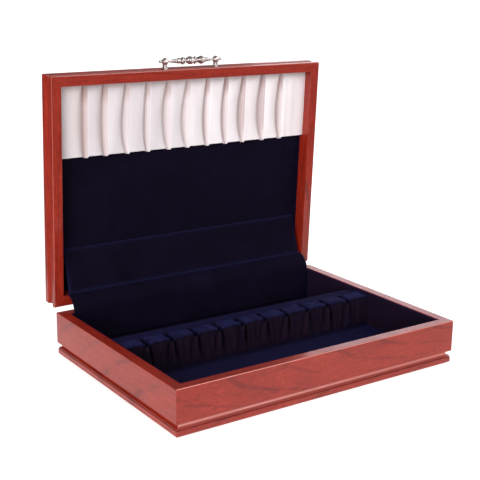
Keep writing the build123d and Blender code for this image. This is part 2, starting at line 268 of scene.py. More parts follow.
def velvet():
    """Navy pile. Its marks paint light into the colour: a painted reddish cast on upright faces, painted sheen where
    it catches light, and painted shade in valleys and slots.
    """
    s = Shader("navy_velvet")
    own = s.coords()
    nap = s.noise(own, 22.0, 4.0, 0.6, 0.8)
    crushed = s.noise(s.stretched(own, scale=(1, 1, 0.5)), 95.0, 3.0, 0.6, 1.2)
    pile = s.noise(own, 2400.0, 2.0, 0.6)
    tufts = s.node("TexVoronoi", {"Vector": own, "Scale": 1500.0, "Randomness": 1.0}).outputs["Distance"]
    colour = s.ramp(s.total((nap, 0.6), (crushed, 0.4)), (0.34, (0.0044, 0.0024, 0.0082)),
                    (0.52, (0.0060, 0.0034, 0.0126)), (0.68, (0.0080, 0.0049, 0.0184)))
    warm, lit, shade = (s.node("Attribute", attribute_name=a).outputs["Fac"] for a in ("warm", "lit", "shade"))
    # painted light: a reddish cast on upright faces, blue sheen where it catches light, and shade in the valleys
    colour = s.mix(warm, colour, (0.0165, 0.0084, 0.0185, 1))
    colour = s.mix(lit, colour, (0.0165, 0.0180, 0.0740, 1))
    colour = s.mix(shade, colour, (0.0008, 0.0006, 0.0010, 1))
    colour = s.mix(s.fit(pile, 0.35, 0.65, 0, 0.45), colour, (0.0024, 0.0018, 0.0045, 1))
    height = s.math("ADD", pile, s.math("MULTIPLY", tufts, 0.7))
    normal = s.bump(height, 0.55, 0.0006, s.bump(crushed, 0.10, 0.002))
    return s.surface(Base_Color=colour, Roughness=s.fit(crushed, 0.3, 0.7, 0.82, 0.96), Normal=normal,
                     Specular_IOR_Level=0.04, Sheen_Weight=0.06, Sheen_Roughness=0.34,
                     Sheen_Tint=(0.16, 0.17, 0.90, 1))


def satin():
    """Ivory satin. The mark fold paints shade towards each pleat's crease and under the top rail, glow paints pale
    peach light along the left rail and over the first panel, and the left end is painted darker.
    """
    s = Shader("ivory_satin")
    own = s.coords()
    wander = s.noise(s.stretched(own, scale=(60, 60, 9)), 1.0, 3.0, 0.5)
    warp = s.noise(s.stretched(own, scale=(5200, 5200, 260)), 1.0, 2.0, 0.5)
    weft = s.noise(s.stretched(own, scale=(420, 420, 4200)), 1.0, 2.0, 0.5)
    weave = s.total((warp, 0.65), (weft, 0.35))
    colour = s.ramp(s.total((wander, 0.7), (weave, 0.3)),
                    (0.30, (0.77, 0.695, 0.710)), (0.52, (0.84, 0.770, 0.788)), (0.72, (0.90, 0.845, 0.862)))
    fold, glow = (s.node("Attribute", attribute_name=a).outputs["Fac"] for a in ("fold", "glow"))
    # painted shade: the left end darker and its creases pinker; the mark fold paints shade and glow paints light
    side = s.fit(s.node("SeparateXYZ", {"Vector": own}).outputs["X"], -0.055, 0.035, 0, 1)
    colour = s.mix(side, s.mix(1.0, colour, (0.845, 0.838, 0.856, 1), "MULTIPLY"), colour)
    deep = s.mix(side, (0.50, 0.315, 0.245, 1), (0.42, 0.28, 0.27, 1))
    colour = s.mix(fold, colour, deep, "MULTIPLY")
    colour = s.mix(glow, colour, (0.97, 0.84, 0.78, 1))
    normal = s.bump(weave, 0.16, 0.0002, s.bump(wander, 0.08, 0.0012))
    return s.surface(Base_Color=colour, Roughness=s.fit(weave, 0.35, 0.65, 0.34, 0.46), Normal=normal,
                     Specular_IOR_Level=0.55, Anisotropic=0.5, Sheen_Weight=0.25, Sheen_Roughness=0.3,
                     Sheen_Tint=(1.0, 0.96, 0.97, 1))


def felt():
    s = Shader("brown_felt")
    own = s.coords()
    fibres = s.noise(own, 900.0, 5.0, 0.7, 1.5)
    clumps = s.noise(own, 120.0, 3.0, 0.6)
    colour = s.ramp(s.total((fibres, 0.6), (clumps, 0.4)),
                    (0.32, (0.030, 0.010, 0.007)), (0.55, (0.062, 0.022, 0.015)), (0.75, (0.100, 0.042, 0.030)))
    return s.surface(Base_Color=colour, Roughness=s.fit(clumps, 0.3, 0.7, 0.86, 0.97),
                     Normal=s.bump(fibres, 0.7, 0.0005), Specular_IOR_Level=0.1, Sheen_Weight=0.25,
                     Sheen_Roughness=0.5)


def nickel():
    """Cast nickel, dark with tarnish in its hollows."""
    s = Shader("polished_nickel")
    own = s.coords()
    smudge = s.noise(own, 240.0, 4.0, 0.6)
    hollow = s.fit(s.node("NewGeometry").outputs["Pointiness"], 0.470, 0.502, 0.0, 1.0)
    colour = s.mix(hollow, (0.07, 0.055, 0.052, 1), (0.80, 0.735, 0.715, 1))
    return s.surface(Base_Color=colour, Metallic=1.0, Roughness=s.fit(smudge, 0.3, 0.7, 0.38, 0.46),
                     Normal=s.bump(smudge, 0.05, 0.0004))


def metal(name, low, high, roughness):
    s = Shader(name)
    own = s.coords()
    brushed = s.noise(s.stretched(own, scale=(140, 2600, 2600)), 1.0, 3.0, 0.6)
    tarnish = s.noise(own, 130.0, 4.0, 0.6)
    colour = s.mix(s.fit(tarnish, 0.3, 0.7, 0, 1), (*low, 1), (*high, 1))
    return s.surface(Base_Color=colour, Metallic=1.0, Roughness=s.fit(tarnish, 0.3, 0.7, *roughness),
                     Normal=s.bump(brushed, 0.08, 0.0002))


def plywood():
    s = Shader("bottom_plywood")
    own = s.coords()
    fibres = s.noise(s.stretched(own, scale=(12, 420, 420)), 1.0, 4.0, 0.6)
    broad = s.noise(s.stretched(own, scale=(5, 40, 40)), 1.0, 3.0, 0.5)
    tone = s.fit(s.total((fibres, 0.6), (broad, 0.4)), 0.3, 0.7, 0, 1)
    colour = s.mix(tone, (0.42, 0.29, 0.17, 1), (0.60, 0.45, 0.29, 1))
    return s.surface(Base_Color=colour, Roughness=s.fit(broad, 0.3, 0.7, 0.55, 0.7),
                     Normal=s.bump(fibres, 0.3, 0.0003))


def paint(node, material):
    """Gives a CAD node its material."""
    node.data.materials.clear()
    node.data.materials.append(material)
    for polygon in node.data.polygons:
        polygon.material_index = 0


# -------- mesh helpers

def smoothstep(low, high, value):
    t = np.clip((np.asarray(value, float) - low) / (high - low), 0, 1)
    return t * t * (3 - 2 * t)


def fade(low, high, value):
    return 1 - smoothstep(low, high, value)


def bell(offset, width):
    return np.exp(-(offset / width) ** 2)


def value_noise(points, seed):
    """Smooth noise from -1 to 1 at points with up to three axes, about one bump to a unit."""
    points = np.asarray(points, float)
    cell = np.floor(points).astype(int)
    part = points - cell
    part = part * part * (3 - 2 * part)
    total = np.zeros(points.shape[:-1])
    axes = points.shape[-1]
    primes = (73856093, 19349663, 83492791)
    for corner in range(2 ** axes):
        key = np.full(points.shape[:-1], seed * 2654435761 % 4294967291, dtype=np.int64)
        weight = np.ones(points.shape[:-1])
        for axis in range(axes):
            bit = corner >> axis & 1
            key = key ^ ((cell[..., axis] + bit) * primes[axis])
            weight = weight * (part[..., axis] if bit else 1 - part[..., axis])
        key = (key ^ (key >> 13)) * 1274126177 & 0x7FFFFFFF
        key = (key ^ (key >> 16)) & 0xFFFF
        total = total + weight * (key / 32767.5 - 1)
    return total


def grid_faces(rows, columns, first=0, wrap=False):
    """Quads of a grid whose points run row by row; wrap joins the last column to the first."""
    faces = []
    for i in range(rows - 1):
        for j in range(columns if wrap else columns - 1):
            k = (j + 1) % columns
            faces.append((first + i * columns + j, first + i * columns + k,
                          first + (i + 1) * columns + k, first + (i + 1) * columns + j))
    return faces


def make_piece(name, points, faces, material, body):
    mesh = bpy.data.meshes.new(name)
    mesh.from_pydata(np.asarray(points).reshape(-1, 3).tolist(), [], faces)
    work = bmesh.new()
    work.from_mesh(mesh)
    bmesh.ops.recalc_face_normals(work, faces=work.faces)
    work.to_mesh(mesh)
    work.free()
    mesh.materials.append(material)
    mesh.shade_smooth()
    piece = add(name, mesh)
    if body:
        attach(piece, body)
    return piece


def mark(piece, name, values):
    """Stores a number from 0 to 1 for each point, which the piece's material reads."""
    values = np.clip(values, 0, 1).astype(np.float32).ravel()
    piece.data.attributes.new(name, "FLOAT", "POINT").data.foreach_set("value", values)


def edge_lines(length, radius, step):
    """Places along one side of a slab: close together where its edges are rounded."""
    rim = [radius * (1 - math.cos(math.radians(a))) for a in (0, 25, 45, 65, 90)]
    middle = np.linspace(radius, length - radius, max(2, int(length / step)) + 1)
    return np.array(rim[:-1] + list(middle) + [length - r for r in reversed(rim[:-1])])


def wrapped_board(name, size, thickness, radius, place, material, slot, body, wave, seed, step=4 * MM, edge=0.35,
                  lit=0.0, warm=0.0):
    """A card or board wrapped in cloth: rounded edges, a face that is never quite flat, a flat back."""
    u, v = np.meshgrid(*(edge_lines(side, radius, step) for side in size), indexing="ij")

    def drop(along, length):
        inside = np.clip(np.minimum(along, length - along), 0, radius)
        return radius - np.sqrt(np.maximum(radius ** 2 - (radius - inside) ** 2, 0))

    w = thickness - drop(u, size[0]) - drop(v, size[1])
    near = np.minimum(np.minimum(u, size[0] - u), np.minimum(v, size[1] - v))
    inner = smoothstep(0, 4 * radius, near)
    flat = np.stack([u, v], -1)
    grain = value_noise(flat / (26 * MM), seed) + 0.4 * value_noise(flat / (8 * MM), seed + 1)
    w = np.maximum(w + wave * inner * grain, 0.15 * thickness)
    rows, columns = u.shape
    top = place(u, v, w).reshape(-1, 3)
    faces = grid_faces(rows, columns)
    rim = ([(i, 0) for i in range(rows)] + [(rows - 1, j) for j in range(1, columns)]
           + [(i, columns - 1) for i in range(rows - 2, -1, -1)] + [(0, j) for j in range(columns - 2, 0, -1)])
    ids = [i * columns + j for i, j in rim]
    under = place(u.ravel()[ids], v.ravel()[ids], np.zeros(len(ids)))
    first = rows * columns
    faces += [(ids[k], ids[(k + 1) % len(ids)], first + (k + 1) % len(ids), first + k) for k in range(len(ids))]
    faces.append(tuple(range(first + len(ids) - 1, first - 1, -1)))
    piece = make_piece(name, np.concatenate([top, under]), faces, material, body)
    # painted sheen along the rounded edges and over the whole face where lit is given; a painted reddish cast where
    # asked
    bright = np.maximum(edge * fade(0.2 * radius, 1.5 * radius, near), lit)
    mark(piece, "lit", np.concatenate([bright.ravel(), np.zeros(len(rim))]))
    mark(piece, "warm", np.full(near.size + len(rim), warm))
    return piece


# -------- wood, hardware

make_camera()

# the way each board's grain runs, and its place in the tree
GRAINS = {
    "base_front_wall": (ALONG_X, (0.31, 0.02, 0.0)), "base_back_wall": (ALONG_X, (1.7, 0.3, 0.1)),
    "base_left_wall": (ALONG_Y, (2.9, 0.1, 0.2)), "base_right_wall": (ALONG_Y, (4.2, 0.5, 0.1)),
    "base_front_moulding": (ALONG_X, (5.3, 0.7, 0.0)), "base_back_moulding": (ALONG_X, (6.1, 0.2, 0.4)),
    "base_left_moulding": (ALONG_Y, (7.7, 0.4, 0.3)), "base_right_moulding": (ALONG_Y, (8.4, 0.6, 0.2)),
    "lid_front_rail": (ALONG_X, (9.9, 0.3, 0.5)), "lid_back_rail": (ALONG_X, (10.8, 0.1, 0.6)),
    "lid_left_rail": (ALONG_Z, (11.6, 0.2, 0.3)), "lid_right_rail": (ALONG_Z, (12.3, 0.8, 0.1)),
    "lid_top_board": (ALONG_X, (13.5, 0.0, 0.2)),
}
# painted highlights, lighter pink lines that stand in for the lacquer catching light: the swell of the front
# moulding, the front wall's upper edge, the lid's outer edges
UP, LID_UP, LID_OUT = (0, 0, 1), (0, math.sin(OPEN), math.cos(OPEN)), (0, -math.cos(OPEN), math.sin(OPEN))
RIM = (LID_UP, float(np.dot(lid_point(0, 0, 0), LID_UP)), 0.9 * MM)
EDGE = float(np.dot(lid_point(0, lid_box("lid_front_rail")[1][1], 0), LID_OUT))
wall_low, wall_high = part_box("base_front_wall")
PAINTED_HIGHLIGHTS = {"base_front_moulding": (0.74, (UP, 11.6 * MM, 2.6 * MM)),
          "base_front_wall": (0.80, (UP, wall_high.z - 0.1 * MM, 1.0 * MM), ((0, 1, 0), wall_low.y, 0.7 * MM)),
          "lid_left_rail": (0.30, RIM, ((1, 0, 0), lid_box("lid_left_rail")[0][0], 0.9 * MM)),
          "lid_front_rail": (0.55, RIM, (LID_OUT, EDGE, 0.9 * MM))}
for name, (grain, shift) in GRAINS.items():
    small = tuple(0.35 * a for a in shift[1:])
    gloss = 0.16 if name.endswith("moulding") else 0.10
    paint(nodes[name], cherry("cherry_" + name, grain, (shift[0], *small), PAINTED_HIGHLIGHTS.get(name), gloss))

steel = metal("screw_steel", (0.42, 0.41, 0.40), (0.62, 0.61, 0.60), (0.24, 0.40))
brass = metal("hinge_brass", (0.55, 0.36, 0.13), (0.80, 0.58, 0.25), (0.22, 0.36))
for name in nodes:
    if name.endswith("screws"):
        paint(nodes[name], steel)
    elif name.startswith("hinge_") and name != "hinge_cover":
        paint(nodes[name], brass)
paint(nodes["base_bottom_panel"], plywood())

VELVET, SATIN, FELT = velvet(), satin(), felt()


# -------- velvet linings of the base

def box_place(low, high, face):
    """Maps a slab's own u, v, w to the row frame: face names the side of the box that shows."""
    axis = "xyz".index(face[1])
    a, b = (i for i in range(3) if i != axis)

    def place(u, v, w):
        u, v, w = np.broadcast_arrays(u, v, w)
        points = np.zeros((*u.shape, 3))
        points[..., a] = low[a] + u
        points[..., b] = low[b] + v
        points[..., axis] = low[axis] + w if face[0] == "+" else high[axis] - w
        return points

    return place, (high[a] - low[a], high[b] - low[b]), high[axis] - low[axis]


def covered(name, node, size, thickness, radius, place, body, under, **looks):
    """Stretches velvet over a board, in place of a CAD node."""
    piece = wrapped_board(name, size, thickness, radius, place, VELVET, "velvet", body, **looks)
    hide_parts(node)


for count, (side, face) in enumerate({"front": "+y", "back": "-y", "left": "+x", "right": "-x"}.items()):
    low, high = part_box(f"base_{side}_lining")
    high.z = wall_high.z - 0.5 * MM
    place, size, thickness = box_place(low, high, face)
    # each lining gets a painted reddish cast, strongest on the right lining
    covered(f"base_{side}_velvet", f"base_{side}_lining", size, thickness, 1.2 * MM, place, "base",
            f"base_{side}_wall", wave=0.10 * MM, seed=11 + count, warm=0.72 if side == "right" else 0.3)

place, size, thickness = box_place(*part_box("base_floor_lining"), "+z")
floor_pad = wrapped_board("base_floor_velvet", size, thickness, 2.0 * MM, place, VELVET, "velvet", "base",
                          wave=0.22 * MM, seed=31, lit=0.28)
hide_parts("base_floor_lining")

place, size, thickness = box_place(*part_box("base_felt"), "-z")
under_felt = wrapped_board("base_under_felt", size, thickness, 0.4 * MM, place, FELT, "felt", "base",
                           wave=0.0, seed=41, step=8 * MM)
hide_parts("base_felt")


# -------- slotted rack

def rack_cloth():
    """One velvet sheet over the rack: up the front, over the fingers, down into each slot and over the bar."""
    low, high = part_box("rack_velvet")
    block_low, block_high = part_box("rack_block")
    bar_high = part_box("rack_bar")[1]
    skin = block_low.y - low.y
    fingers = 11
    half_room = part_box("base_right_lining")[0].x
    pitch = 2 * half_room / fingers
    half_width = half_room - 0.2 * MM
    slots = (np.arange(1, fingers) - fingers / 2) * pitch
    # columns: finer on either side of each slot
    middles = (np.arange(fingers) + 0.5 - fingers / 2) * pitch
    columns = [centre + np.linspace(-12, 12, 49) * MM for centre in slots]
    columns += [centre + np.linspace(-4, 4, 9) * MM for centre in middles]
    columns += [np.linspace(-half_width, -half_width + 9 * MM, 10), np.linspace(half_width - 9 * MM, half_width, 10)]
    x = np.unique(np.round(np.concatenate(columns), 6))
    x = x[np.concatenate([[True], np.diff(x) > 0.2 * MM])]

    def stretch(points, count):
        points = np.array(points, float)
        far = np.concatenate([[0], np.cumsum(np.linalg.norm(np.diff(points, axis=0), axis=1))])
        at = np.linspace(0, far[-1], count, endpoint=False)
        return np.stack([np.interp(at, far, points[:, 0]), np.interp(at, far, points[:, 1])], 1)

    def arc(centre, radius, start, end, count=6):
        turn = np.radians(np.linspace(start, end, count))
        return [(centre[0] + radius * math.cos(a), centre[1] + radius * math.sin(a)) for a in turn]

    # (y, z) in mm along the sheet over a finger and through a slot, with as many points in each stretch; f is the
    # floor, t the fingers' tops, st the top of the bar behind them and d the block's depth
    f, t, st, d = low.z / MM, high.z / MM, (bar_high.z + skin) / MM, (block_high.y - low.y) / MM
    apron = stretch([(-7.0, f + 0.35), (-4.0, f + 0.5), (-2.0, f + 1.0), (-0.7, f + 2.6), (0.1, f + 5.0)], 12)
    bar = [(d + 1.2, st + 0.05), (30, st + 0.1), (37.0, st - 0.05)] + arc((37.3, st - 2.6), 2.6, 80, 5)
    bar += [(39.9, 20), (39.9, f + 0.4)]

    def path(face, over, down):
        stretches = [apron, stretch(face, 30), stretch(over, 22), stretch(down, 8), stretch(bar, 30), [bar[-1]]]
        return np.concatenate(stretches)

    over = [(0.0, t - 5)] + arc((1.9, t - 2.3), 2.3, 180, 95) + [(10, t)] + arc((17.3, t - 2.0), 2.0, 85, 10)
    finger = path([(0.1, f + 5.0), (0.3, t - 16), (0.0, t - 5)], over,
                  [over[-1], (d - 0.4, st + 0.35), (d + 1.2, st + 0.05)])
    over = [(-0.6, t - 7.0), (0.5, t - 5.4), (2.6, t - 6.6), (6.0, t - 13.5), (11, t - 17.2), (17.2, t - 18.6)]
    slot = path([(0.1, f + 5.0), (0.0, t - 16), (-0.6, t - 7.0)], over,
                [over[-1], (d - 0.9, t - 17.0), (d - 0.6, st - 2.0), (d + 1.2, st + 0.05)])
    # the front ends at row 42, the tops at row 64 and the way down at row 72
    rows = len(finger)
    bar_start = rows - 31
    row = np.arange(rows)[None, :]
    rise = np.where(row < 42, np.clip((finger[:, 1] - f) / (t - 5 - f), 0, 1), 1.0)

    xs = x[:, None] / MM
    nearest = np.abs(xs - slots[None, :] / MM).argmin(1)
    dx = xs - slots[nearest][:, None] / MM
    rng = np.random.default_rng(7)
    own = {key: rng.uniform(least, most, len(slots))[nearest][:, None] for key, least, most in (
        ("lean", -0.8, 0.8), ("bulge", 2.4, 3.4), ("foot", 6.8, 8.2), ("head", 1.9, 2.6), ("swing", -0.8, 1.6),
        ("left", 0.35, 0.95), ("right", 0.70, 1.10))}
    # how much of the slot's path a column follows: steep walls, shoulders that round off
    q = np.clip((np.abs(dx) - 2.0) / 2.8, 0, 1)
    follow_top = (1 - q) ** 2.6
    follow_face = fade(1.2, 5.2, np.abs(dx))
    blend_row = smoothstep(36, 44, row)
    follow = (follow_face * (1 - blend_row) + follow_top * blend_row) * (row < bar_start)
    y, z = (finger[:, axis] * (1 - follow) + slot[:, axis] * follow for axis in (0, 1))
    xx = np.repeat(xs, rows, 1)

    # the tongue below each slot widens downwards between two deep valleys
    down_share = 1 - rise
    body = smoothstep(0.0, 0.10, down_share) * (1 - 0.35 * smoothstep(0.80, 1.0, down_share))
    half = own["head"] + (own["foot"] - own["head"]) * down_share ** 0.8
    off = dx - (own["lean"] * down_share + own["swing"] * down_share ** 2)
    bulge = own["bulge"] * body * np.where(np.abs(off) < half, 0.5 + 0.5 * np.cos(np.pi * off / half), 0)
    wide = 1 + 0.9 * down_share
    right_valley = own["right"] * bell(off - half - 1.5, 1.45 * wide)
    left_valley = own["left"] * bell(off + half + 1.3, 1.25 * wide)
    reach = smoothstep(-0.04, 0.10, down_share) * (1 - 0.78 * smoothstep(0.25, 0.95, down_share))
    on_face = ((row < 46) & (row >= 4)) * fade(40, 46, row) * smoothstep(3, 12, row)
    y = y - (bulge - (3.9 * right_valley + 3.0 * left_valley) * reach) * on_face

    def creases(along, down, seed):
        return value_noise(np.stack(np.broadcast_arrays(along, down), -1), seed)

    # soft cross folds, hanging folds and crushed nap
    soft = creases(xx / 7.0, row / 9.0, 5)
    hanging = creases(xx / 2.6 + 0.04 * row, row / 26.0, 8)
    fine = creases(xx / 2.6, row / 5.0, 6)
    y = y - (0.50 * soft + 0.70 * hanging + 0.14 * fine) * on_face
    crest = ((row >= 42) & (row < 64)) * (1 - follow)
    z = z + (0.60 * soft + 0.26 * fine) * crest
    # finger tops are crowned across their width
    shoulder = np.clip((np.abs(dx) - 4.0) / 7.0, 0, 1)
    z = z - 0.7 * (1 - shoulder) ** 2 * crest
    z = z + 0.16 * soft * (row >= bar_start) * (finger[:, 1] > 46)
    # a gathered pucker at the slot's mouth
    pinch = bell(dx, 5.0) * bell(row - 44, 4.0)
    xx = xx - 0.22 * dx * pinch
    points = np.stack([xx, y, np.maximum(z, f + 0.3)], -1) * MM
    piece = make_piece("rack_velvet_cover", points, grid_faces(len(x), rows), VELVET, "base")
    # painted sheen on the finger tops and the bar behind, a painted reddish cast on the fronts, and painted shade in
    # the valleys and slots
    top_rows = smoothstep(43.0, 46.0, row) * fade(60, 63, row)
    behind = smoothstep(63, 70, row) * fade(rows - 16, rows - 8, row)
    catch = top_rows * (1 - follow) * (0.72 + 0.36 * soft + 0.20 * fine)
    mark(piece, "lit", catch + 0.22 * behind)
    front = smoothstep(8, 14, row) * fade(42, 45, row)
    mark(piece, "warm", front * (0.85 + 0.45 * hanging))
    slot_dark = smoothstep(0.03, 0.45, follow) * (smoothstep(41, 46, row) * fade(66, 71, row))
    valley_dark = (1.15 * right_valley + 0.95 * left_valley) * reach * on_face
    mark(piece, "shade", valley_dark + 0.9 * slot_dark)
    solid = piece.modifiers.new("cloth", "SOLIDIFY")
    solid.thickness = 0.6 * MM
    solid.offset = -1
    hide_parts("rack_velvet", "rack_fingers", "rack_bar", "rack_block")


rack_cloth()


# -------- soft parts of the lid

def lid_face(low, outer_depth):
    """Maps a slab's own u, v, w to the row frame, for a slab that faces out of the open lid."""
    def place(u, v, w):
        return lid_point(low[0] + u, low[1] + v, outer_depth - w)
    return place


low, high = lid_box("lid_lining_board")
covered("lid_velvet_lining", "lid_lining_board", high[:2] - low[:2], high[2] - low[2], 1.0 * MM,
        lid_face(low, high[2]), "lid", "lid_top_board", wave=0.15 * MM, seed=51)


def ramp_panel():
    """The sloping velvet board at the lid's hinge side."""
    low, high = lid_box("lid_ramp_panel")
    # (inset, depth) of the board's two edges
    foot = np.array([16.35, -1.5]) * MM
    head = np.array([high[1], 16.4 * MM])
    slope = head - foot
    length = float(np.linalg.norm(slope))
    slope = slope / length
    outward = np.array([slope[1], -slope[0]])
    thickness = 2.0 * MM

    def place(u, v, w):
        u, v, w = np.broadcast_arrays(u, v, w)
        inset = foot[0] + slope[0] * v + outward[0] * (w - thickness)
        depth = foot[1] + slope[1] * v + outward[1] * (w - thickness)
        return lid_point(low[0] + u, inset, depth)

    covered("lid_ramp_velvet", "lid_ramp_panel", (high[0] - low[0], length), thickness, 1.3 * MM, place, "lid",
            "lid_lining_board", wave=0.18 * MM, seed=61, edge=0.6)


ramp_panel()


def hinge_strip():
    """The velvet strip across the hinge line, round the hinge's own axis."""
    low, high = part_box("hinge_cover")
    outer = HINGE_Y - low.y
    thickness = 1.2 * MM
    arc = [math.radians(a) for a in np.linspace(92.5, 180, 42)]
    # the hem stands up at 96.5 degrees round the axis
    hem_rise = 0.75 * MM
    hem = [hem_rise * math.exp(-((math.degrees(a) - 96.5) / 3.6) ** 4) for a in arc]

    def section(radii, y):
        """Round the axis, then straight down at y."""
        points = [(HINGE_Y + r * math.cos(a), HINGE_Z + r * math.sin(a)) for a, r in zip(arc, radii)]
        return np.array(points + [(y, z) for z in np.linspace(HINGE_Z, low.z, 14)[1:]])

    line = section([outer + h for h in hem], low.y)
    back = section([outer - thickness] * len(arc), low.y + thickness)
    loop = np.concatenate([line, back[::-1]])
    x = edge_lines(high.x - low.x, 1.0 * MM, 4 * MM) + low.x
    points = np.zeros((len(x), len(loop), 3))
    points[..., 0] = x[:, None]
    points[..., 1:] = loop[None]
    middle = (line + back) / 2
    middle = np.concatenate([middle, middle[::-1]])
    edge = np.minimum(x - low.x, high.x - x)
    keep = np.clip(0.35 + 0.65 * np.sqrt(np.clip(edge / (1.0 * MM), 0, 1)), 0, 1)[:, None, None]
    points[..., 1:] = middle[None] + (points[..., 1:] - middle[None]) * keep
    front = np.arange(len(loop)) < len(line)
    spots = np.broadcast_arrays(x[:, None] / (38 * MM), np.arange(len(loop))[None] / 16.0)
    wave = value_noise(np.stack(spots, -1), 71)
    away = loop - np.array([HINGE_Y, HINGE_Z])
    away = away / np.linalg.norm(away, axis=1)[:, None]
    points[..., 1:] += (0.16 * MM * wave * front[None])[..., None] * away[None]
    faces = grid_faces(len(x), len(loop), wrap=True)
    faces.append(tuple(range(len(loop) - 1, -1, -1)))
    faces.append(tuple(range((len(x) - 1) * len(loop), len(x) * len(loop))))
    piece = make_piece("hinge_velvet_strip", points, faces, VELVET, None)
    bright = np.zeros(len(loop))
    bright[:len(hem)] = np.array(hem) / hem_rise
    mark(piece, "lit", np.broadcast_to(0.6 * bright, (len(x), len(loop))))
    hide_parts("hinge_cover")
    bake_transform(piece)


hinge_strip()


# each pleat in mm: where its fold runs, its wall's width at the top, the widest and the hem, its roll-over's width
# there, how far its shade reaches and how dark it is, and the share of its wall that lies in the shade
PLEATS = (
    (-146.6, (5.4, 4.8, 4.6), (4.0, 13.0, 4.0), 9.0, 0.71, 0.75),
    (-119.0, (5.2, 6.4, 4.6), (3.6, 10.0, 3.6), 10.5, 0.56, 0.85),
    (-88.7, (4.9, 8.2, 3.2), (3.2, 8.0, 2.8), 7.8, 0.41, 0.50),
    (-59.1, (5.1, 6.7, 4.0), (2.8, 6.0, 2.4), 5.2, 0.44, 0.50),
    (-28.3, (5.4, 9.6, 3.4), (3.0, 8.0, 2.4), 6.4, 0.49, 0.42),
    (0.0, (4.2, 9.2, 3.0), (3.0, 8.5, 2.4), 7.2, 0.46, 0.46),
    (30.5, (4.9, 7.6, 3.4), (2.6, 5.6, 2.2), 4.8, 0.70, 0.55),
    (59.8, (4.9, 7.8, 2.8), (2.6, 5.6, 2.2), 5.0, 0.78, 0.56),
    (87.3, (4.3, 8.4, 2.6), (2.8, 7.4, 2.2), 7.6, 0.73, 3.0),
    (119.7, (6.4, 9.0, 2.0), (2.8, 7.6, 2.2), 7.6, 0.75, 3.0),
    (149.3, (4.5, 7.0, 2.5), (2.8, 7.0, 2.2), 7.4, 0.77, 0.66),
)
# places across a flat panel and across a wall, closer together where the cloth turns
PANEL_SHARES = (0, 0.012, 0.035, 0.08, 0.14, 0.2, 0.27, 0.33, 0.4, 0.47, 0.53, 0.6, 0.66, 0.72, 0.78, 0.83, 0.88,
                0.92, 0.96)
WALL_SHARES = (0, 0.04, 0.12, 0.2, 0.28, 0.37, 0.46, 0.55, 0.64, 0.73, 0.8, 0.86, 0.9, 0.94, 0.97)


